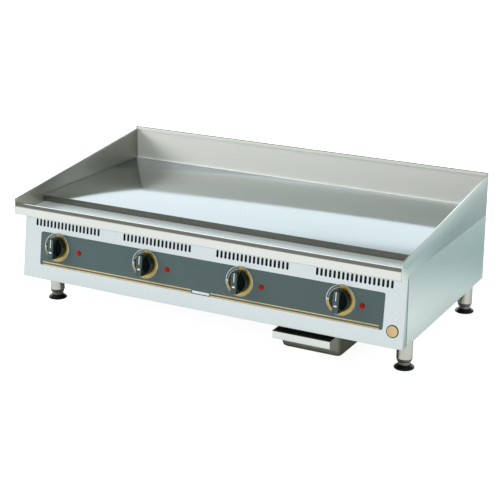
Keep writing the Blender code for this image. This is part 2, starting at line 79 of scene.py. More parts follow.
BADGE_PLACE = (0.5765, 0.0455, 0.0002)


def panel_box(node):
    """Lowest and highest corners of a CAD node in the control panel's own frame."""
    turn = PANEL.inverted()
    corners = [turn @ vertex.co for vertex in NODES[node].data.vertices]
    return Vector(map(min, zip(*corners))), Vector(map(max, zip(*corners)))


def panel_middle(node):
    low, high = panel_box(node)
    return (low.x + high.x) / 2, (low.y + high.y) / 2


DIAL_AT = {i: panel_middle(f"dial_bezel_{i}") for i in DIALS}
LAMP_AT = {i: panel_middle(f"indicator_lamp_{i}") for i in DIALS}


# Camera and studio.

# What the metal sees of the floor: from 1 m in front of the middle to 3 m behind it, then a painted shadow
# under the casing.
FLOOR_TONES = [
    (0.00, (0.94, 0.97, 0.98)),
    (0.27, (0.88, 0.95, 0.93)),
    (0.47, (0.36, 0.47, 0.47)),
    (0.62, (0.50, 0.60, 0.59)),
    (1.00, (0.90, 0.92, 0.92)),
]
UNDER_CASING_SHADOW = (0.075, 0.077, 0.065)
# What it sees of the room's front: low down from left to right, then higher up, then along the horizon.
ROOM_LOW = [
    (0.10, (0.30, 0.30, 0.28)),
    (0.20, (0.70, 0.70, 0.66)),
    (0.32, (0.95, 0.955, 0.90)),
    (0.46, (0.98, 0.99, 0.93)),
    (0.60, (0.22, 0.22, 0.20)),
    (0.90, (0.22, 0.22, 0.20)),
]
ROOM_HIGH = (0.20, 0.215, 0.20)
HORIZON = (0.95, 1.06, 1.08)
# What it sees behind the object, from left to right.
BEHIND = [
    (0.38, (1.50, 1.58, 1.66)),
    (0.50, (1.10, 1.19, 1.23)),
    (0.60, (1.05, 1.13, 1.16)),
    (0.72, (0.32, 0.32, 0.29)),
    (1.00, (0.32, 0.32, 0.29)),
]
# Where one tone gives way to the next, from 0 to 1: heights from straight down to straight up, and depths
# from straight forward to straight back.
ABOVE_ROOM = [(0.66, 0.0), (0.73, 1.0)]
AT_HORIZON = [(0.53, 1.0), (0.60, 0.0)]
ABOVE_BEHIND = [(0.76, 0.0), (0.84, 1.0)]
FRONT_TO_BACK = [(0.44, 0.0), (0.62, 1.0)]


def camera():
    data = bpy.data.cameras.new("camera")
    made = bpy.data.objects.new("camera", data)
    bpy.context.scene.collection.objects.link(made)
    azimuth, pitch, roll = math.radians(27.477), math.radians(15.785), math.radians(0.578)
    made.location = (1.813, -3.4984, 1.4884)
    aim = Matrix.Rotation(azimuth, 4, "Z") @ Matrix.Rotation(math.pi / 2 - pitch, 4, "X")
    made.rotation_euler = (aim @ Matrix.Rotation(roll, 4, "Z")).to_euler()
    data.sensor_width = 36
    data.lens = 100.16
    data.shift_y = -0.12
    data.clip_start, data.clip_end = 0.05, 200
    bpy.context.scene.camera = made
    bpy.context.scene.view_settings.view_transform = "Standard"


def lamp(name, place, aim, size, power):
    data = bpy.data.lights.new(name, "AREA")
    data.shape = "RECTANGLE"
    data.size, data.size_y = size
    data.energy = power
    made = bpy.data.objects.new(name, data)
    bpy.context.scene.collection.objects.link(made)
    made.location = place
    made.rotation_euler = (Vector(place) - Vector(aim)).to_track_quat("Z", "Y").to_euler()
    return made


def studio():
    """Surroundings for metal to reflect, white to the camera, and two soft lamps that metal doesn't show."""
    world = bpy.data.worlds.new("studio")
    bpy.context.scene.world = world
    world.use_nodes = True
    tree = world.node_tree
    background = tree.nodes["Background"]
    direction = tree.nodes.new("ShaderNodeTexCoord").outputs["Generated"]
    split = tree.nodes.new("ShaderNodeSeparateXYZ")
    tree.links.new(direction, split.inputs[0])
    across, depth, height = (split.outputs[axis] for axis in "XYZ")
    low = ramp(tree, across, ROOM_LOW, -1, 1)
    room = mixed(tree, low, ROOM_HIGH, ramp(tree, height, ABOVE_ROOM, -1, 1))
    front = mixed(tree, room, HORIZON, ramp(tree, height, AT_HORIZON, -1, 1))
    far_low = ramp(tree, across, BEHIND, -1, 1)
    behind = mixed(tree, far_low, ROOM_HIGH, ramp(tree, height, ABOVE_BEHIND, -1, 1))
    around = mixed(tree, front, behind, ramp(tree, depth, FRONT_TO_BACK, -1, 1))
    seen = tree.nodes.new("ShaderNodeLightPath").outputs["Is Camera Ray"]
    tree.links.new(mixed(tree, around, (1.0, 1.0, 1.0), seen), background.inputs["Color"])
    background.inputs["Strength"].default_value = 1.0
    for light in (
        lamp("overhead", (0.0, -0.4, 2.4), (0, 0.1, 0.3), (1.6, 1.0), 22),
        lamp("key_left", (-2.6, -1.5, 1.5), (0, -0.1, 0.2), (1.2, 1.2), 60),
    ):
        light.visible_glossy = False


def ramp(tree, source, stops, low=0, high=1, smooth=True):
    """A colour that follows a value through the given stops; low and high are the value's range."""
    scale = tree.nodes.new("ShaderNodeMapRange")
    scale.inputs["From Min"].default_value = low
    scale.inputs["From Max"].default_value = high
    tree.links.new(source, scale.inputs["Value"])
    node = tree.nodes.new("ShaderNodeValToRGB")
    node.color_ramp.interpolation = "EASE" if smooth else "LINEAR"
    elements = node.color_ramp.elements
    elements[0].position, elements[-1].position = stops[0][0], stops[-1][0]
    for place, _ in stops[1:-1]:
        elements.new(place)
    for element, (_, colour) in zip(elements, stops):
        element.color = (*colour, 1) if isinstance(colour, tuple) else (colour, colour, colour, 1)
    tree.links.new(scale.outputs["Result"], node.inputs["Fac"])
    return node.outputs["Color"]


# Materials. Each is built from procedural patterns in object space, so it needs no picture.


def blank(name, colour, roughness, metallic=0.0):
    made = bpy.data.materials.new(name)
    made.use_nodes = True
    shader = made.node_tree.nodes["Principled BSDF"]
    shader.inputs["Base Color"].default_value = (*colour, 1)
    shader.inputs["Roughness"].default_value = roughness
    shader.inputs["Metallic"].default_value = metallic
    return made, made.node_tree, shader


def noise(tree, stretch, scale, detail=2.0, roughness=0.5):
    coordinates = tree.nodes.new("ShaderNodeTexCoord").outputs["Object"]
    mapping = tree.nodes.new("ShaderNodeMapping")
    mapping.inputs["Scale"].default_value = stretch
    tree.links.new(coordinates, mapping.inputs["Vector"])
    node = tree.nodes.new("ShaderNodeTexNoise")
    node.inputs["Scale"].default_value = scale
    node.inputs["Detail"].default_value = detail
    node.inputs["Roughness"].default_value = roughness
    tree.links.new(mapping.outputs["Vector"], node.inputs["Vector"])
    return node.outputs["Fac"]


def scaled(colour, factor):
    return tuple(min(1, c * factor) for c in colour)


def mixed(tree, first, second, factor):
    """From the first colour to the second as the factor goes from 0 to 1."""
    node = tree.nodes.new("ShaderNodeMix")
    node.data_type = "RGBA"
    for name, value in (("A", first), ("B", second)):
        socket = [s for s in node.inputs if s.name == name and s.type == "RGBA"][0]
        if isinstance(value, tuple):
            socket.default_value = (*value, 1)
        else:
            tree.links.new(value, socket)
    if isinstance(factor, float):
        node.inputs["Factor"].default_value = factor
    else:
        tree.links.new(factor, node.inputs["Factor"])
    return [s for s in node.outputs if s.type == "RGBA"][0]


def bump(tree, shader, height, strength):
    node = tree.nodes.new("ShaderNodeBump")
    node.inputs["Strength"].default_value = strength
    node.inputs["Distance"].default_value = 0.0002
    tree.links.new(height, node.inputs["Height"])
    tree.links.new(node.outputs["Normal"], shader.inputs["Normal"])


def brushed(name, colour, roughness, grain=(3, 260, 260), depth=0.12, spread=0.07, cloud=0.05):
    """Brushed metal: fine streaks, along X unless the grain says otherwise, and a slow drift in tone."""
    made, tree, shader = blank(name, colour, roughness, 1.0)
    streaks = noise(tree, grain, 1.0, 3.0, 0.6)
    drift = noise(tree, (1, 1, 1), 3.5, 2.0)
    tone = mixed(tree, scaled(colour, 1 - 2 * cloud), colour, ramp(tree, drift, [(0.30, 0.0), (0.70, 1.0)]))
    lines = ramp(tree, streaks, [(0.25, 0.0), (0.60, 1.0)])
    tree.links.new(mixed(tree, scaled(colour, 1 - cloud), tone, lines), shader.inputs["Base Color"])
    low, high = roughness - spread, roughness + spread
    tree.links.new(ramp(tree, streaks, [(0.3, low), (0.7, high)], smooth=False), shader.inputs["Roughness"])
    bump(tree, shader, streaks, depth)
    return made


def moulded(name, colour, roughness, texture=900.0, depth=0.08, cloud=0.15):
    """Moulded or coated surface with a fine grain."""
    made, tree, shader = blank(name, colour, roughness)
    grain = noise(tree, (1, 1, 1), texture, 2.0)
    drift = noise(tree, (1, 1, 1), 14.0, 3.0)
    tone = mixed(tree, scaled(colour, 1 - cloud), scaled(colour, 1 + cloud), drift)
    tree.links.new(tone, shader.inputs["Base Color"])
    low, high = roughness * 0.85, min(1.0, roughness * 1.15)
    tree.links.new(ramp(tree, drift, [(0.3, low), (0.7, high)], smooth=False), shader.inputs["Roughness"])
    bump(tree, shader, grain, depth)
    return made


def coated(made, level):
    """The same material with its clear reflection set to a level of its own."""
    made.node_tree.nodes["Principled BSDF"].inputs["Specular IOR Level"].default_value = level
    return made


def ground(name, colour, roughness):
    """Ground plate: near-mirror, with the faint overlapping arcs that a rotary grinder leaves."""
    made, tree, shader = blank(name, colour, roughness, 1.0)
    place = tree.nodes.new("ShaderNodeTexCoord").outputs["Object"]
    cells = tree.nodes.new("ShaderNodeTexVoronoi")
    cells.voronoi_dimensions = "2D"
    cells.inputs["Scale"].default_value = 3.6
    cells.inputs["Randomness"].default_value = 0.85
    tree.links.new(place, cells.inputs["Vector"])
    rings = tree.nodes.new("ShaderNodeMath")
    rings.operation = "SINE"
    spread = tree.nodes.new("ShaderNodeMath")
    spread.operation = "MULTIPLY"
    spread.inputs[1].default_value = 150.0
    tree.links.new(cells.outputs["Distance"], spread.inputs[0])
    tree.links.new(spread.outputs[0], rings.inputs[0])
    arcs = ramp(tree, rings.outputs[0], [(0.0, 0.0), (1.0, 1.0)], -1, 1)
    fine = noise(tree, (170, 6, 170), 1.0, 3.0, 0.6)
    drift = noise(tree, (1, 1, 1), 3.0, 2.0)
    tone = mixed(tree, scaled(colour, 0.955), colour, arcs)
    tone = mixed(tree, tone, scaled(colour, 0.94), ramp(tree, drift, [(0.45, 0.0), (0.75, 1.0)]))
    tree.links.new(tone, shader.inputs["Base Color"])
    level = mixed(tree, (roughness - 0.02,) * 3, (roughness + 0.05,) * 3, fine)
    tree.links.new(mixed(tree, level, (roughness + 0.03,) * 3, arcs), shader.inputs["Roughness"])
    bump(tree, shader, fine, 0.03)
    return made


def satin(name, colour, roughness, metallic, lines=0.04):
    """Dull rolled sheet: partly mirror, partly matt."""
    made, tree, shader = blank(name, colour, roughness, metallic)
    streaks = noise(tree, (4, 300, 300), 1.0, 3.0, 0.6)
    drift = noise(tree, (1, 1, 1), 5.0, 2.0)
    tone = mixed(tree, scaled(colour, 0.94), colour, drift)
    tree.links.new(mixed(tree, tone, scaled(colour, 1 - lines), streaks), shader.inputs["Base Color"])
    low, high = roughness - lines, roughness + lines
    tree.links.new(ramp(tree, streaks, [(0.3, low), (0.7, high)], smooth=False), shader.inputs["Roughness"])
    bump(tree, shader, streaks, lines)
    return made


# How far the streaks are squeezed along X, Y and Z: they run along the least squeezed of the three.
ALONG_Y = (260, 3, 260)
ALONG_Z = (260, 260, 6)

STEEL = brushed("stainless", (0.72, 0.765, 0.775), 0.27, depth=0.002, spread=0.012, cloud=0.01)
# Darker copy of the stainless for the front panel's end returns: painted shade on the faces that turn
# sideways.
STEEL_RETURN_SHADED = brushed("stainless_return_shaded", (0.56, 0.64, 0.655), 0.34, depth=0.002, spread=0.012, cloud=0.01)
STEEL_SIDE = brushed(
    "stainless_side", (0.75, 0.82, 0.805), 0.30, ALONG_Y, depth=0.006, spread=0.03, cloud=0.015
)
STEEL_SPLASH = satin("stainless_splash", (0.90, 0.905, 0.86), 0.50, 0.06, lines=0.01)
# Darker, warmer copy of the splash steel for the faces that turn in towards the plate, and for the corner
# welds: painted shade.
STEEL_SPLASH_INNER_SHADED = satin("stainless_splash_inner_shaded", (0.62, 0.615, 0.555), 0.40, 0.80, lines=0.01)
STEEL_SPLASH_SIDE = brushed(
    "stainless_splash_side", (0.75, 0.82, 0.80), 0.28, ALONG_Y, depth=0.003, spread=0.02, cloud=0.01
)
NOSING = brushed("stainless_nosing", (0.80, 0.80, 0.76), 0.16, depth=0.02, spread=0.02, cloud=0.01)
# Near-black steel for the rear splash's top fold and the nosing's foot: painted shade, a dark line where
# there is only shade.
EDGE_PAINTED_SHADE = brushed("edge_painted_shade", (0.06, 0.06, 0.05), 0.35, depth=0.03)
# Brighter, half-matt copy of the nosing steel for the trough floor: painted light standing in for what it
# reflects.
TROUGH_FLOOR_LIT = satin("trough_floor_painted_light", (0.80, 0.87, 0.875), 0.50, 0.45)
PLATE = ground("ground_plate", (0.43, 0.485, 0.485), 0.09)
# Dark brown copy of the plate steel for its sides and underside: painted shade.
PLATE_EDGE_SHADE = brushed("plate_edge_painted_shade", (0.25, 0.245, 0.215), 0.38, depth=0.06, cloud=0.06)
# Near-white, nearly matt bead: a painted highlight along the plate's back edge.
WELD_HIGHLIGHT = satin("weld_bead_painted_highlight", (0.90, 0.95, 0.97), 0.50, 0.1)
NICKEL = brushed("brushed_nickel", (0.62, 0.60, 0.55), 0.22, ALONG_Z, depth=0.05, spread=0.04, cloud=0.03)
PULL = brushed("pull_steel", (0.80, 0.82, 0.79), 0.33, depth=0.03, spread=0.03, cloud=0.01)
# Near-black copy of the pull steel for its upward faces: painted shade under the casing's edge.
PULL_TOP_SHADE = brushed("pull_top_painted_shade", (0.085, 0.09, 0.08), 0.40, depth=0.03)
OVERLAY = coated(moulded("overlay", (0.043, 0.090, 0.088), 0.30, depth=0.02, cloud=0.05), 0.8)
LINE_GOLD = moulded("line_gold", (0.80, 0.58, 0.27), 0.42, depth=0.02, cloud=0.08)
DIAL_GOLD = brushed("dial_gold", (0.56, 0.41, 0.12), 0.34, grain=(200, 200, 200), depth=0.03)
SILVER = satin("rim_silver", (0.88, 0.90, 0.88), 0.25, 0.6)
BLACK = coated(moulded("knob_black", (0.003, 0.010, 0.009), 0.20, depth=0.02), 0.42)
# Lighter, greenish copy of the knob black for the grip's front face: a painted sheen where that face catches
# the light.
KNOB_FACE_LIT = coated(moulded("knob_face_painted_sheen", (0.022, 0.056, 0.052), 0.22, depth=0.02), 0.75)
WHITE = moulded("pointer_white", (0.85, 0.85, 0.83), 0.40, cloud=0.03)
INK = moulded("dial_ink", (0.03, 0.04, 0.04), 0.5)
LENS = coated(moulded("lamp_red", (0.50, 0.011, 0.0005), 0.5, depth=0.02, cloud=0.1), 0.1)
FOOT = moulded("foot_black", (0.006, 0.008, 0.008), 0.14, depth=0.02)
PAN = brushed("pan_steel", (0.56, 0.57, 0.47), 0.36, grain=(40, 40, 40), depth=0.05, cloud=0.10)
ZINC = brushed("zinc", (0.52, 0.54, 0.55), 0.42, grain=(35, 35, 35), depth=0.05, spread=0.10, cloud=0.12)
CASE = moulded("case_black", (0.02, 0.02, 0.02), 0.5)
SHEATH = brushed("element_sheath", (0.25, 0.20, 0.16), 0.45, grain=(30, 30, 30), cloud=0.15)
BLANKET = moulded("ceramic_blanket", (0.72, 0.70, 0.63), 0.95, texture=260.0, depth=0.9, cloud=0.10)
BRASS = brushed("bushing_brass", (0.62, 0.50, 0.27), 0.30, grain=(60, 60, 60))

# Finishes of the CAD nodes, by the start of the node's name. Any other node is zinc.
FINISHES = {
    "front_panel": STEEL,
    "side_panel": STEEL_SIDE,
    "back_panel": STEEL,
    "back_splash": STEEL_SPLASH,
    "side_splash": STEEL_SPLASH_SIDE,
    "grease_trough": NOSING,
    "griddle_plate": PLATE,
    "control_overlay": OVERLAY,
    "dial_bezel": DIAL_GOLD,
    "knob": BLACK,
    "indicator_lamp": LENS,
    "leg": NICKEL,
    "foot_pad": FOOT,
    "drawer_pan": PAN,
    "drawer_handle": PULL,
    "terminal_block": CASE,
    "thermostat_shaft": ZINC,
    "thermostat": CASE,
    "heating_element": SHEATH,
    "insulation_blanket": BLANKET,
    "conduit_bushing": BRASS,
}


def finish_nodes():
    for name, node in NODES.items():
        starts = [start for start in FINISHES if name.startswith(start)]
        chosen = FINISHES[max(starts, key=len)] if starts else ZINC
        for slot in node.material_slots:
            slot.material = chosen


# Shapes. Outlines are lists of points, solids are bmeshes, and made_of() and those after it give objects.


def prism(outline, low, high, axis):
    """A flat outline pushed along one axis from low to high. Its points give the other two coordinates."""
    shape = bmesh.new()
    ends = []
    for level in (low, high):
        corners = []
        for point in outline:
            place = list(point)
            place.insert(axis, level)
            corners.append(shape.verts.new(place))
        ends.append(corners)
    count = len(outline)
    shape.faces.new(ends[0])
    shape.faces.new(ends[1])
    for i in range(count):
        j = (i + 1) % count
        shape.faces.new((ends[0][i], ends[0][j], ends[1][j], ends[1][i]))
    bmesh.ops.recalc_face_normals(shape, faces=shape.faces)
    return shape


def box(low, high):
    outline = [(low[0], low[1]), (high[0], low[1]), (high[0], high[1]), (low[0], high[1])]
    return prism(outline, low[2], high[2], 2)


def arc(centre, radius, start, end, steps):
    angles = [math.radians(start + (end - start) * i / steps) for i in range(steps + 1)]
    return [(centre[0] + radius * math.cos(a), centre[1] + radius * math.sin(a)) for a in angles]


def rounded_rectangle(low, high, radius, steps=8):
    corners = (
        ((high[0] - radius, low[1] + radius), -90),
        ((high[0] - radius, high[1] - radius), 0),
        ((low[0] + radius, high[1] - radius), 90),
        ((low[0] + radius, low[1] + radius), 180),
    )
    outline = []
    for centre, start in corners:
        outline += arc(centre, radius, start, start + 90, steps)
    return outline


def eased(path, radius, steps=6):
    """A path with each inner corner rounded to the radius."""
    points = [Vector(p) for p in path]
    out = [points[0]]
    for before, corner, after in zip(points, points[1:], points[2:]):
        a, b = (before - corner).normalized(), (after - corner).normalized()
        angle = a.angle(b)
        shorter = min((before - corner).length, (after - corner).length)
        reach = min(radius / math.tan(angle / 2), shorter * 0.49)
        start, end = corner + a * reach, corner + b * reach
        for i in range(steps + 1):
            t = i / steps
            out.append(start.lerp(corner, t).lerp(corner.lerp(end, t), t))
    out.append(points[-1])
    return [tuple(p) for p in out]


def bent_sheet(path, thickness=SHEET):
    """The outline of a sheet bent along a path, with its thickness on the path's left."""
    points = [Vector(p) for p in path]
    left = []
    for i, point in enumerate(points):
        before = (point - points[i - 1]).normalized() if i else None
        after = (points[i + 1] - point).normalized() if i + 1 < len(points) else None
        sides = [Vector((-d.y, d.x)) for d in (before, after) if d]
        middle = sum(sides, Vector((0, 0))).normalized()
        left.append(point + middle * thickness / middle.dot(sides[0]))
    return [tuple(p) for p in points] + [tuple(p) for p in reversed(left)]


def disc(radius, low, high):
    """The profile of a plain cylinder, for turned()."""
    return [(0, low), (radius, low), (radius, high), (0, high)]


def turned(profile, steps=64):
    """A solid turned about Z from (radius, height) points; a ring if no point is on the axis."""
    shape = bmesh.new()
    rings = []
    for radius, height in profile:
        if radius == 0:
            rings.append([shape.verts.new((0, 0, height))] * steps)
            continue
        angles = [2 * math.pi * i / steps for i in range(steps)]
        points = [(radius * math.cos(a), radius * math.sin(a), height) for a in angles]
        rings.append([shape.verts.new(p) for p in points])
    hollow = all(radius > 0 for radius, _ in profile)
    pairs = list(zip(rings, rings[1:])) + ([(rings[-1], rings[0])] if hollow else [])
    for lower, upper in pairs:
        for i in range(steps):
            j = (i + 1) % steps
            shape.faces.new(list(dict.fromkeys([lower[i], lower[j], upper[j], upper[i]])))
    bmesh.ops.recalc_face_normals(shape, faces=shape.faces)
    return shape


def loft(outlines):
    shape = bmesh.new()
    rings = [[shape.verts.new(p) for p in outline] for outline in outlines]
    count = len(outlines[0])
    for lower, upper in zip(rings, rings[1:]):
        for i in range(count):
            j = (i + 1) % count
            shape.faces.new((lower[i], lower[j], upper[j], upper[i]))
    shape.faces.new(rings[0])
    shape.faces.new(rings[-1])
    bmesh.ops.recalc_face_normals(shape, faces=shape.faces)
    return shape


def joined(shapes):
    whole = bmesh.new()
    for shape in shapes:
        mesh = bpy.data.meshes.new("scratch")
        shape.to_mesh(mesh)
        shape.free()
        whole.from_mesh(mesh)
        bpy.data.meshes.remove(mesh)
    return whole


def moved(shape, offset=(0, 0, 0), turn=None):
    if turn is not None:
        shape.transform(turn)
    shape.transform(Matrix.Translation(offset))
    return shape


def made_of(name, shape, finish):
    mesh = bpy.data.meshes.new(name)
    shape.to_mesh(mesh)
    shape.free()
    thing = bpy.data.objects.new(name, mesh)
    bpy.context.scene.collection.objects.link(thing)
    mesh.materials.append(finish)
    return thing


def made_of_parts(name, parts):
    """One object from several (shape, finish) pairs."""
    whole = bmesh.new()
    mesh = bpy.data.meshes.new(name)
    finishes = []
    for shape, finish in parts:
        if finish not in finishes:
            finishes.append(finish)
        for face in shape.faces:
            face.material_index = finishes.index(finish)
        scratch = bpy.data.meshes.new("scratch")
        shape.to_mesh(scratch)
        shape.free()
        whole.from_mesh(scratch)
        bpy.data.meshes.remove(scratch)
    whole.to_mesh(mesh)
    whole.free()
    for finish in finishes:
        mesh.materials.append(finish)
    thing = bpy.data.objects.new(name, mesh)
    bpy.context.scene.collection.objects.link(thing)
    return thing


def retouched(thing, finish, chosen):
    """Gives the faces that a test picks another finish. The test takes a face's middle and normal."""
    thing.data.materials.append(finish)
    index = len(thing.data.materials) - 1
    for face in thing.data.polygons:
        if chosen(face.center, face.normal):
            face.material_index = index
    return thing


def smoothed(thing, angle=35):
    thing.data.polygons.foreach_set("use_smooth", [True] * len(thing.data.polygons))
    thing.data.set_sharp_from_angle(angle=math.radians(angle))
    return thing


def applied(thing):
    """Replaces the object's mesh by the one its modifiers give."""
    graph = bpy.context.evaluated_depsgraph_get()
    graph.update()
    mesh = bpy.data.meshes.new_from_object(thing.evaluated_get(graph))
    old = thing.data
    thing.modifiers.clear()
    thing.data = mesh
    bpy.data.meshes.remove(old)
    return thing


def carved(thing, shape, operation="DIFFERENCE"):
    tool = made_of("tool", shape, thing.data.materials[0])
    cut = thing.modifiers.new("carve", "BOOLEAN")
    cut.operation = operation
    cut.solver = "EXACT"
    cut.object = tool
    applied(thing)
    bpy.data.objects.remove(tool)
    return thing


def bevelled(thing, width, segments=3):
    edge = thing.modifiers.new("edges", "BEVEL")
    edge.width = width
    edge.segments = segments
    edge.limit_method = "ANGLE"
    edge.angle_limit = math.radians(40)
    return applied(thing)


def piece(name, shape, finish, body="casing", edge=0.0, nodes=(), angle=35):
    """A finished piece from one shape, with its edges eased where an edge width is given."""
    thing = made_of(name, shape, finish)
    if edge:
        bevelled(thing, edge)
    return finished(thing, body, nodes, angle)


def finished(thing, body="casing", nodes=(), angle=35):
    """Smooths the object, puts it on its body, and names its CAD nodes."""
    smoothed(thing, angle)
    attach(thing, body)
    if nodes:
        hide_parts(*nodes)
    return thing


# Casing.


def side_sheets():
    for name, side in (("side_panel_left", -1), ("side_panel_right", 1)):
        outer = side * SIDE
        path = [
            (outer - side * 0.012, SEAM),
            (outer, SEAM),
            (outer, BASE),
            (outer - side * 0.025, BASE),
        ]
        outline = bent_sheet(eased(path, 0.0022), -side * SHEET)
        piece(name.replace("panel", "sheet"), prism(outline, BODY_FRONT, BACK, 1), STEEL_SIDE, nodes=[name])


def slot(x):
    radius, reach = SLOT_WIDTH / 2, (SLOT_LENGTH - SLOT_WIDTH) / 2
    outline = arc((x, SLOT_HEIGHT + reach), radius, 0, 180, 6)
    outline += arc((x, SLOT_HEIGHT - reach), radius, 180, 360, 6)
    return prism(outline, -0.006, 0.006, 2)


def slot_groups():
    """The X of each slot, one list for each zone."""
    middle_slot = (SLOTS_IN_GROUP - 1) / 2
    offsets = [(i - middle_slot) * SLOT_PITCH for i in range(SLOTS_IN_GROUP)]
    return [[middle + offset for offset in offsets] for middle in ZONES]


def control_holes():
    """Cutters for the thermostat shafts and the lamps."""
    holes = [moved(turned(disc(SHAFT_HOLE, -0.005, 0.005), 24), (*DIAL_AT[i], 0)) for i in DIALS]
    return holes + [moved(turned(disc(LAMP_HOLE, -0.005, 0.005), 16), (*LAMP_AT[i], 0)) for i in DIALS]


def control_panel():
    """Leaning panel with eased folds; its slots are cut after the folds are rounded."""
    foot, back, top_z, half = PANEL_LOW.y, PANEL_HIGH.y, PANEL_HIGH.z, PANEL_HIGH.x
    lean = math.tan(LEAN)
    top = foot + (top_z - BASE) * lean
    outline = [(foot, BASE), (back, BASE), (back, top_z), (top, top_z)]
    outer = made_of("control_panel", prism(outline, -half, half, 0), STEEL)
    bevelled(outer, 0.0014)
    face_in = SHEET / math.cos(LEAN)
    above = top_z + 0.01
    hollow = [
        (foot + SHEET * lean + face_in, BASE + SHEET),
        (back + 0.01, BASE + SHEET),
        (back + 0.01, above),
        (foot + (above - BASE) * lean + face_in, above),
    ]
    carved(outer, prism(hollow, SHEET - half, half - SHEET, 0))
    cutters = [slot(x) for group in slot_groups() for x in group]
    carved(outer, moved(joined(cutters + control_holes()), turn=PANEL))
    # The end returns get the darker copy: painted shade.
    retouched(outer, STEEL_RETURN_SHADED, lambda at, normal: abs(normal.x) > 0.9 and abs(at.x) > half - 0.0005)
    finished(outer, nodes=["front_panel"])


def slot_shade_strips():
    """Black strips close behind the slots: painted shade, so that nothing bright shows through them."""
    for number, group in enumerate(slot_groups(), 1):
        low, high = group[0] - 0.012, group[-1] + 0.012
        path = [(0.1500, -0.0100), (0.1540, -0.0075), (0.1860, -0.0075), (0.1900, -0.0100)]
        strip = prism(bent_sheet(path, 0.0008), low, high, 0)
        piece(f"slot_shade_strip_{number}", moved(strip, turn=PANEL), CASE)


def splashes():
    """Back sheet with its top edge folded forward, the two end sheets, and a weld up each back corner."""
    low_z, top_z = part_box("back_splash")[0].z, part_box("back_splash")[1].z
    fold = BACK - HEM_DEPTH
    path = [(BACK, low_z), (BACK, top_z), (fold, top_z), (fold, top_z - 0.010)]
    outline = bent_sheet(eased(path, 0.0012))
    sheet = made_of("rear_splash", prism(outline, -SIDE, SIDE, 0), STEEL_SPLASH)
    retouched(sheet, STEEL, lambda at, normal: normal.y > 0.5)
    # The top fold is painted near-black: painted shade along the splash's top edge.
    retouched(sheet, EDGE_PAINTED_SHADE, lambda at, normal: at.z > top_z - 0.0030 and abs(normal.x) < 0.5)
    finished(sheet, nodes=["back_splash"])
    for name, side in (("side_splash_left", -1), ("side_splash_right", 1)):
        side_splash(name, side)
        left, right = sorted((side * (SIDE - HEM_DEPTH), side * (SIDE - 0.0006)))
        near = (left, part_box(name)[1].y - 0.0012, PLATE_HIGH.z)
        weld = box(near, (right, BACK - 0.0006, top_z - 0.0015))
        # The corner welds take the same darker copy: painted shade in the back corners.
        piece(name.replace("side_splash", "corner_weld"), weld, STEEL_SPLASH_INNER_SHADED, edge=0.0006)


def side_splash(name, side):
    """Tapering sheet with its top edge folded inward; it runs on past the body to close the nosing."""
    low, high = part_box(name)
    outer, inner = side * SIDE, side * (SIDE - SHEET)
    end, foot = high.y, SEAM + 0.0003
    front_top, back_top = SPLASH_FRONT, high.z
    ear_back, ear_low = BODY_FRONT - 0.001, low.z
    slope = math.degrees(math.atan2(back_top - front_top, end - FRONT))
    radius = 0.004
    outline = [(end, foot), (end, back_top)]
    outline += arc((FRONT + radius, front_top - radius), radius, 90 + slope, 180, 8)
    outline += [(FRONT, SEAM + 0.001), (FRONT + 0.004, SEAM - 0.003), (ear_back - 0.006, ear_low)]
    outline += [(ear_back, ear_low + 0.004), (ear_back, foot)]
    shape = prism(outline, min(outer, inner), max(outer, inner), 0)
    sheet = made_of(name.replace("side_splash", "end_splash"), shape, STEEL_SPLASH_SIDE)
    hem, front = 0.009, FRONT + 2 * radius
    rise = math.tan(math.radians(slope))
    edge = [(end, back_top), (front, back_top - (end - front) * rise)]
    strip = edge + [(y, z - hem) for y, z in reversed(edge)]
    folded, root = side * (SIDE - HEM_DEPTH), side * (SIDE - 0.001)
    carved(sheet, prism(strip, min(folded, root), max(folded, root), 0), "UNION")
    bevelled(sheet, 0.0005, 2)
    # The inward faces get the darker, warmer copy: painted shade.
    retouched(sheet, STEEL_SPLASH_INNER_SHADED, lambda at, normal: normal.x * side < -0.5)
    finished(sheet, nodes=[name])


def trough():
    """Nosing roll, inner wall and trough floor, bent from one sheet, with the drain's hole and its rim."""
    roll, fillet, floor_z = 0.0127, 0.004, PLATE_LOW.z - 0.0003
    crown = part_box("grease_trough")[1].z - roll
    foot, half = SEAM - 0.0004, PLATE_HIGH.x
    path = [(BODY_FRONT - 0.001, foot)]
    path += arc((FRONT + 0.002, foot + 0.002), 0.002, 270, 180, 6)
    path += arc((FRONT + roll, crown), roll, 180, 0, 36)
    path += arc((FRONT + 2 * roll + fillet, floor_z + fillet), fillet, 180, 270, 8)
    path.append((PLATE_LOW.y + 0.008, floor_z))
    sheet = made_of("trough_and_nosing", prism(bent_sheet(path, -SHEET), -half, half, 0), NOSING)
    carved(sheet, moved(turned(disc(0.0135, floor_z - 0.01, floor_z + 0.01), 48), (DRAIN_X, DRAIN_Y, 0)))
    inner = FRONT + 2 * roll
    # The trough floor gets the brighter copy: painted light.
    retouched(sheet, TROUGH_FLOOR_LIT, lambda at, normal: at.y > inner + 0.002 and at.z < floor_z + 0.003)
    # The nosing's lowest faces are painted near-black: a painted shadow line along the seam with the panel.
    retouched(sheet, EDGE_PAINTED_SHADE, lambda at, normal: at.y < inner and at.z < foot + 0.0012)
    finished(sheet, nodes=["grease_trough"])
    rim = [(0.0130, -0.0012), (0.0150, 0.0), (0.0150, 0.0006), (0.0138, 0.0010), (0.0130, 0.0004)]
    piece("drain_rim", moved(turned(rim, 48), (DRAIN_X, DRAIN_Y, floor_z)), NOSING)


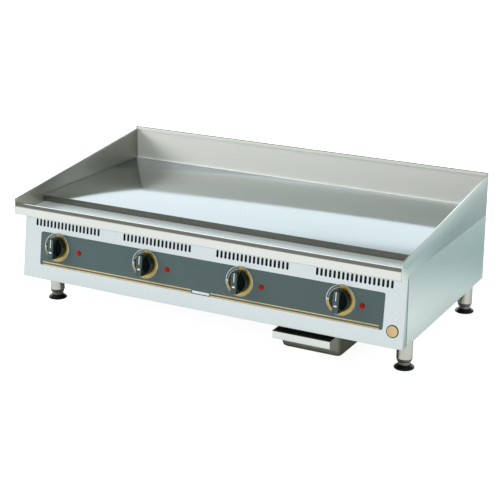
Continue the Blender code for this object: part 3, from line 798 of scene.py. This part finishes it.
def plate():
    """The cooking plate, with a ground top, sides and underside darkened as painted shade, and the weld bead
    along its back.
    """
    slab = box(PLATE_LOW, PLATE_HIGH)
    thing = bevelled(made_of("cooking_plate", slab, PLATE), 0.0012, 3)
    # Every face that doesn't point up is painted dark: painted shade.
    retouched(thing, PLATE_EDGE_SHADE, lambda at, normal: normal.z < 0.5)
    finished(thing, nodes=["griddle_plate"])
    centre = (BACK - HEM_DEPTH - 0.0010, PLATE_HIGH.z - 0.0004)
    bead = prism(arc(centre, 0.0022, 0, 360, 16)[:-1], PLATE_LOW.x, PLATE_HIGH.x, 0)
    # The bead is near white: a painted highlight along the back edge.
    piece("plate_weld", bead, WELD_HIGHLIGHT, angle=60)


def screw(name, place, turn, radius=0.0035):
    """A low pan head with a cross recess."""
    dome = [(radius, radius * 0.25), (radius * 0.7, radius * 0.55), (0, radius * 0.65)]
    thing = made_of(name, turned([(0, 0), (radius, 0), *dome], 24), SILVER)
    reach, half = radius * 0.55, radius * 0.12
    bars = [box((-reach, -half, radius * 0.3), (reach, half, radius)) for _ in (0, 1)]
    bars[1].transform(Matrix.Rotation(math.pi / 2, 4, "Z"))
    for bar in bars:
        carved(thing, bar)
    thing.data.transform(Matrix.Translation(place) @ turn)
    finished(thing)


def fixings():
    """Screws along the back, one in each end of the control panel, and four under the bottom pan."""
    outward = Matrix.Rotation(-math.pi / 2, 4, "X")
    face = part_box("back_panel")[1].y
    for number, x in enumerate((-0.585, -0.35, -0.12, 0.12, 0.35, 0.585), 1):
        screw(f"back_screw_top_{number}", (x, face, SEAM - 0.014), outward)
        screw(f"back_screw_low_{number}", (x, face, BASE + 0.016), outward)
    for name, side in (("left", -1), ("right", 1)):
        turn = Matrix.Rotation(side * math.pi / 2, 4, "Y")
        screw(f"return_screw_{name}", (side * PANEL_HIGH.x, BODY_FRONT - 0.014, BASE + 0.014), turn, 0.0026)
    down = Matrix.Rotation(math.pi, 4, "X")
    for number, (x, y) in enumerate(((-0.597, -0.1), (-0.597, 0.15), (0.597, -0.1), (0.597, 0.15)), 1):
        screw(f"floor_screw_{number}", (x, y, BASE), down)


# Controls.


def overlay():
    """Dark fascia with two gold lines, which a plain plate interrupts in the middle."""
    low, high = panel_box("control_overlay")
    sheet = prism(rounded_rectangle(low, high, 0.006), low.z, high.z, 2)
    panel = made_of("control_fascia", sheet, OVERLAY)
    carved(panel, joined(control_holes()))
    panel.data.transform(PANEL)
    finished(panel, nodes=["control_overlay"])
    root, top, half, plain = high.z - 0.0002, high.z + 0.00025, (high.x - low.x) / 2 - 0.0105, 0.031
    for number, s in enumerate((low.y + 0.0022, low.y + 0.010), 1):
        for name, left, right in (("left", -half, -plain), ("right", plain, half)):
            outline = rounded_rectangle((left, s - 0.0014), (right, s + 0.0014), 0.0013, 4)
            line = prism(outline, root, top, 2)
            piece(f"trim_line_{name}_{number}", moved(line, turn=PANEL), LINE_GOLD)
    reach = plain - 0.003
    outline = rounded_rectangle((-reach, low.y + 0.0030), (reach, low.y + 0.0095), 0.0032, 8)
    plain_plate = prism(outline, root, high.z + 0.0006, 2)
    piece("blank_plate", moved(plain_plate, turn=PANEL), WHITE, edge=0.0002)


def dial_scale(number):
    """Dial plate: a bright rim, a gold band with nine strokes, and a dark upper left with a bright arc."""
    x, s = DIAL_AT[number]
    low, high = panel_box(f"dial_bezel_{number}")
    base, outer, inner = low.z, (high.x - low.x) / 2, 0.027
    step = high.z - base
    rim = turned(
        [
            (outer - 0.0021, base),
            (outer, base),
            (outer, base + step * 0.6),
            (outer - 0.0007, base + step),
            (outer - 0.0021, base + step * 0.7),
        ],
        96,
    )
    edge, level = outer - 0.0018, base + step * 0.45
    line = outer - 0.0075
    parts = [
        (rim, SILVER),
        (sector(inner, edge, 186, 456, base, level, 90), DIAL_GOLD),
        (sector(inner, edge, 96, 180, base, level, 28), OVERLAY),
        (sector(inner, edge, 180, 186, base, level + 0.0003, 3), WHITE),
        (sector(line - 0.0008, line, 100, 180, base, level + 0.0004, 24), SILVER),
    ]
    first, apart = 62, 29
    for i in range(9):
        angle = first - i * apart
        stroke = sector(edge - 0.0024, edge - 0.0006, angle - 0.9, angle + 0.9, base, level + 0.0002, 2)
        parts.append((stroke, INK))
    thing = made_of_parts(f"dial_scale_{number}", parts)
    thing.data.transform(PANEL @ Matrix.Translation((x, s, 0)))
    finished(thing, nodes=[f"dial_bezel_{number}"])


def sector(inner, outer, start, end, low, high, steps):
    """Part of a flat ring, between two angles in degrees."""
    outline = arc((0, 0), outer, start, end, steps) + arc((0, 0), inner, end, start, steps)
    return prism(outline, low, high, 2)


def knob(number):
    """Moulded knob: a round skirt with a rolled rim, and a broad bar grip with white inlays on its face."""
    x, s = DIAL_AT[number]
    low, high = panel_box(f"knob_{number}")
    radius, top = (high.x - low.x) / 2, high.z
    skirt = turned(
        [
            (0, 0.0035),
            (radius - 0.0018, 0.0035),
            (radius - 0.0008, 0.0040),
            (radius - 0.0002, 0.0054),
            (radius, 0.0075),
            (radius, 0.0104),
            (radius - 0.0004, 0.0122),
            (radius - 0.0016, 0.0138),
            (radius - 0.0034, 0.0148),
            (radius - 0.0050, 0.0150),
            (radius - 0.0066, 0.0147),
            (radius - 0.0080, 0.0138),
            (0, 0.0136),
        ],
        96,
    )
    thing = made_of(f"control_knob_{number}", skirt, BLACK)
    tall = (high.y - low.y) / 2
    levels = (
        (0.0090, 0.0105, tall, 0.0034),
        (0.0160, 0.0104, tall, 0.0034),
        (top - 0.0030, 0.0100, tall - 0.0003, 0.0034),
        (top - 0.0016, 0.0098, tall - 0.0006, 0.0034),
        (top - 0.0006, 0.0093, tall - 0.0011, 0.0032),
        (top - 0.0001, 0.0086, tall - 0.0018, 0.0028),
        (top, 0.0076, tall - 0.0028, 0.0022),
    )
    rings = []
    for height, wide, reach, corner in levels:
        outline = rounded_rectangle((-wide, -reach), (wide, reach), corner, 6)
        rings.append([(px, py, height) for px, py in outline])
    carved(thing, loft(rings), "UNION")
    carved(thing, turned(disc(0.0034, 0, 0.016), 24))
    # The grip's front face gets the lighter, greenish copy: painted sheen.
    retouched(thing, KNOB_FACE_LIT, lambda at, normal: normal.z > 0.85 and at.z > top - 0.001)
    thing.data.transform(PANEL @ Matrix.Translation((x, s, 0)))
    finished(thing, f"dial_{number}", [f"knob_{number}"], 50)
    pointer = rounded_rectangle((x - 0.0012, s + 0.0030), (x + 0.0012, s + tall - 0.0024), 0.0009, 4)
    mark = rounded_rectangle((x - 0.0045, s - 0.0130), (x + 0.0045, s - 0.0085), 0.0020, 4)
    for name, outline in (("pointer", pointer), ("mark", mark)):
        inlay = moved(prism(outline, top - 0.0006, top + 0.00012, 2), turn=PANEL)
        piece(f"knob_{name}_{number}", inlay, WHITE, f"dial_{number}")


def pilot(number):
    """Red lens with a low dome and a short straight edge, on a neck that passes through the panel."""
    x, s = LAMP_AT[number]
    low, high = panel_box(f"indicator_lamp_{number}")
    face = panel_box(f"dial_bezel_{number}")[0].z
    radius, neck, nut, behind = (high.x - low.x) / 2, 0.0046, 0.006, -0.0021
    edge, rise = face + 0.0009, high.z - face - 0.0009
    angles = [math.radians(a) for a in (0, 15, 30, 45, 60, 75)]
    dome = [(radius * math.cos(a), edge + rise * math.sin(a)) for a in angles]
    back = [(0, low.z), (nut, low.z), (nut, behind), (neck, behind), (neck, face), (radius, face)]
    lens = moved(turned([*back, *dome, (0, high.z)], 40), turn=PANEL @ Matrix.Translation((x, s, 0)))
    piece(f"pilot_lamp_{number}", lens, LENS, nodes=[f"indicator_lamp_{number}"])


def badge():
    """A plain round disc with a dark edge in the panel's lower right corner."""
    raised = [(0.0150, 0.0009), (0.0143, 0.0013), (0.0128, 0.0013), (0.0120, 0.0008)]
    centre = turned([(0, 0), (0.0150, 0), *raised, (0, 0.0008)], 64)
    ring = turned([(0.0150, 0), (0.0175, 0), (0.0175, 0.0007), (0.0168, 0.0010), (0.0150, 0.0010)], 64)
    thing = made_of_parts("round_badge", [(centre, LINE_GOLD), (ring, INK)])
    thing.data.transform(PANEL @ Matrix.Translation(BADGE_PLACE))
    finished(thing)


# Drawer.


def grease_pan():
    """Drawn pan with a flat rim, made of rings that run up its outside, over the rim and down inside."""
    low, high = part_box("drawer_pan")
    flange = 0.008
    left, right, front, end = low.x + flange, high.x - flange, low.y + flange, high.y - flange
    rim, bottom = high.z, low.z

    def ring(inset, height):
        along = max(inset * 1.3, inset)
        corner = 0.022 - min(inset, 0.010)
        outline = rounded_rectangle((left + inset, front + along), (right - inset, end - along), corner, 10)
        return [(x, y, height) for x, y in outline]

    under = rim - SHEET
    rings = (
        (0.0175, bottom),
        (0.0125, bottom + 0.0012),
        (0.0095, bottom + 0.004),
        (0.0070, bottom + 0.010),
        (0.0050, bottom + 0.020),
        (0.0006, under - 0.003),
        (-0.0008, under - 0.0006),
        (-0.0030, under),
        (-0.0074, under),
        (-0.0080, under + 0.0005),
        (-0.0080, under + 0.0010),
        (-0.0074, rim),
        (0.0005, rim),
        (0.0018, rim - 0.0012),
        (0.0022, under - 0.003),
        (0.0066, bottom + 0.020),
        (0.0084, bottom + 0.011),
        (0.0110, bottom + 0.0052),
        (0.0140, bottom + 0.0026),
        (0.0185, bottom + SHEET),
    )
    pan = loft([ring(*r) for r in rings])
    piece("grease_pan", pan, PAN, "drawer", nodes=["drawer_pan"], angle=50)


def pan_pull():
    """Folded sheet with a flat web and a front flange, and two rivets under the web."""
    low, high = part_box("drawer_handle")
    path = [(high.y, high.z - SHEET), (low.y, high.z - SHEET), (low.y, low.z)]
    pull = made_of("pan_pull", prism(bent_sheet(eased(path, 0.003, 8)), low.x, high.x, 0), PULL)
    # The upward faces are painted near-black: painted shade.
    retouched(pull, PULL_TOP_SHADE, lambda at, normal: normal.z > 0.5)
    finished(pull, "drawer", ["drawer_handle"])
    for number, x in enumerate((low.x + 0.03, high.x - 0.03), 1):
        rivet = turned([(0, 0), (0.003, 0), (0.0026, 0.0008), (0.0016, 0.0014), (0, 0.0016)], 20)
        turn = Matrix.Translation((x, high.y - 0.018, high.z - SHEET)) @ Matrix.Rotation(math.pi, 4, "X")
        piece(f"pull_rivet_{number}", moved(rivet, turn=turn), SILVER, "drawer")


# Legs and supply.


def leg(corner):
    """Fixed sleeve under the casing, and the adjustable foot that slides in it."""
    low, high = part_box(f"leg_sleeve_{corner}")
    tube_low, tube_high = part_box(f"leg_adjuster_{corner}")
    place = ((low.x + high.x) / 2, (low.y + high.y) / 2, 0)
    radius, thin = (high.x - low.x) / 2, (tube_high.x - tube_low.x) / 2
    pad_low, pad_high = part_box(f"foot_pad_{corner}")
    tube = moved(sleeve(radius, thin, low.z, high.z), place)
    rod = moved(stem(thin, tube_low.z, low.z, tube_high.z), place)
    foot = moved(pad((pad_high.x - pad_low.x) / 2, pad_high.z, thin), place)
    body = f"foot_{corner}"
    piece(f"sleeve_{corner}", tube, NICKEL, nodes=[f"leg_sleeve_{corner}"])
    piece(f"stem_{corner}", rod, NICKEL, body, nodes=[f"leg_adjuster_{corner}"])
    piece(f"pad_{corner}", foot, FOOT, body, nodes=[f"foot_pad_{corner}"])


def sleeve(radius, thin, end, top):
    """Tube with a turned band near its lower end, where it narrows to the stem."""
    bore, waist = thin + 0.0003, radius - 0.0004
    return turned(
        [
            (bore, top),
            (radius, top),
            (radius, top - 0.0020),
            (waist, top - 0.0024),
            (waist, end + 0.0115),
            (radius, end + 0.0105),
            (radius, end + 0.0090),
            (radius - 0.0006, end + 0.0074),
            (thin + 0.0024, end + 0.0008),
            (thin + 0.0018, end),
            (bore, end),
        ],
        72,
    )


def stem(thin, low, end, top):
    """Rod with a thread: coarse grooves below the sleeve's end, and finer ones inside it."""
    profile = [(0, low), (thin - 0.0006, low), (thin, low + 0.0006)]
    thread, level = 0.0012, end - 0.0022
    while level > low + 0.0022:
        profile[3:3] = [(thin, level - thread), (thin - 0.0005, level - thread / 2), (thin, level)]
        level -= 2 * thread
    profile += [(thin, end - 0.0006)]
    pitch = 0.0015
    for i in range(int((top - end - 0.004) / pitch)):
        z = end + pitch * i
        profile += [(thin, z + 0.0004), (thin - 0.0006, z + 0.0011)]
    profile += [(thin, top - 0.0012), (thin - 0.0012, top), (0, top)]
    return turned(profile, 56)


def pad(wide, rise, thin):
    """Flared foot that stands on the ground and narrows to the stem."""
    return turned(
        [
            (0, 0.0),
            (wide - 0.0040, 0.0),
            (wide - 0.0015, 0.0004),
            (wide - 0.0003, 0.0014),
            (wide, 0.0026),
            (wide - 0.0005, 0.0040),
            (wide - 0.0025, 0.0060),
            (wide - 0.0060, 0.0084),
            (thin + 0.0016, rise - 0.0012),
            (thin + 0.0009, rise - 0.0003),
            (thin, rise),
            (0, rise),
        ],
        72,
    )


def supply():
    """Brass bushing in the back sheet, where the supply leads would pass."""
    low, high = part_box("conduit_bushing")
    x, z = (low.x + high.x) / 2, (low.z + high.z) / 2
    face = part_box("back_panel")[1].y
    wide, proud, deep = (high.x - low.x) / 2, high.y - face, low.y - face
    ring = turned(
        [
            (0.0135, deep),
            (0.0168, deep),
            (0.0170, 0.0),
            (wide, 0.0002),
            (wide, proud * 0.7),
            (wide - 0.0008, proud),
            (0.0150, proud),
            (0.0139, proud - 0.0004),
            (0.0135, proud - 0.0012),
        ],
        64,
    )
    turn = Matrix.Translation((x, face, z)) @ Matrix.Rotation(-math.pi / 2, 4, "X")
    piece("cable_bushing", moved(ring, turn=turn), BRASS, nodes=["conduit_bushing"])


def floor():
    """Pale floor, near white to the camera. Metal sees the floor tones, and a painted shadow under the
    casing.
    """
    mesh = bpy.data.meshes.new("floor")
    mesh.from_pydata([(-30, -30, 0), (30, -30, 0), (30, 30, 0), (-30, 30, 0)], [], [(0, 1, 2, 3)])
    plane = bpy.data.objects.new("floor", mesh)
    bpy.context.scene.collection.objects.link(plane)
    made, tree, shader = blank("floor", (0.75, 0.75, 0.75), 0.9)
    shader.inputs["Specular IOR Level"].default_value = 0.0
    seen = tree.nodes.new("ShaderNodeLightPath").outputs["Is Camera Ray"]
    place = tree.nodes.new("ShaderNodeTexCoord").outputs["Object"]
    split = tree.nodes.new("ShaderNodeSeparateXYZ")
    tree.links.new(place, split.inputs[0])
    # How much of the painted shadow under the casing each point takes, fading out past the casing's edges.
    under = None
    for axis, reach in (("X", SIDE), ("Y", BACK)):
        far = tree.nodes.new("ShaderNodeMath")
        far.operation = "ABSOLUTE"
        tree.links.new(split.outputs[axis], far.inputs[0])
        share = ramp(tree, far.outputs[0], [(0.0, 1.0), (1.0, 0.0)], reach - 0.06, reach + 0.16)
        under = share if under is None else mixed(tree, (0.0, 0.0, 0.0), share, under)
    depth = ramp(tree, split.outputs["Y"], FLOOR_TONES, -1.0, 3.0)
    shaded = mixed(tree, depth, UNDER_CASING_SHADOW, under)
    tree.links.new(mixed(tree, shaded, (0.90, 0.90, 0.90), seen), shader.inputs["Emission Color"])
    tree.links.new(mixed(tree, (0.03, 0.03, 0.03), (0.75, 0.75, 0.75), seen), shader.inputs["Base Color"])
    shader.inputs["Emission Strength"].default_value = 1.0
    mesh.materials.append(made)


camera()
studio()
floor()
finish_nodes()
side_sheets()
control_panel()
slot_shade_strips()
splashes()
trough()
plate()
overlay()
for dial in DIALS:
    dial_scale(dial)
    knob(dial)
    pilot(dial)
badge()
grease_pan()
pan_pull()
for corner in ("front_left", "front_right", "back_left", "back_right"):
    leg(corner)
supply()
fixings()
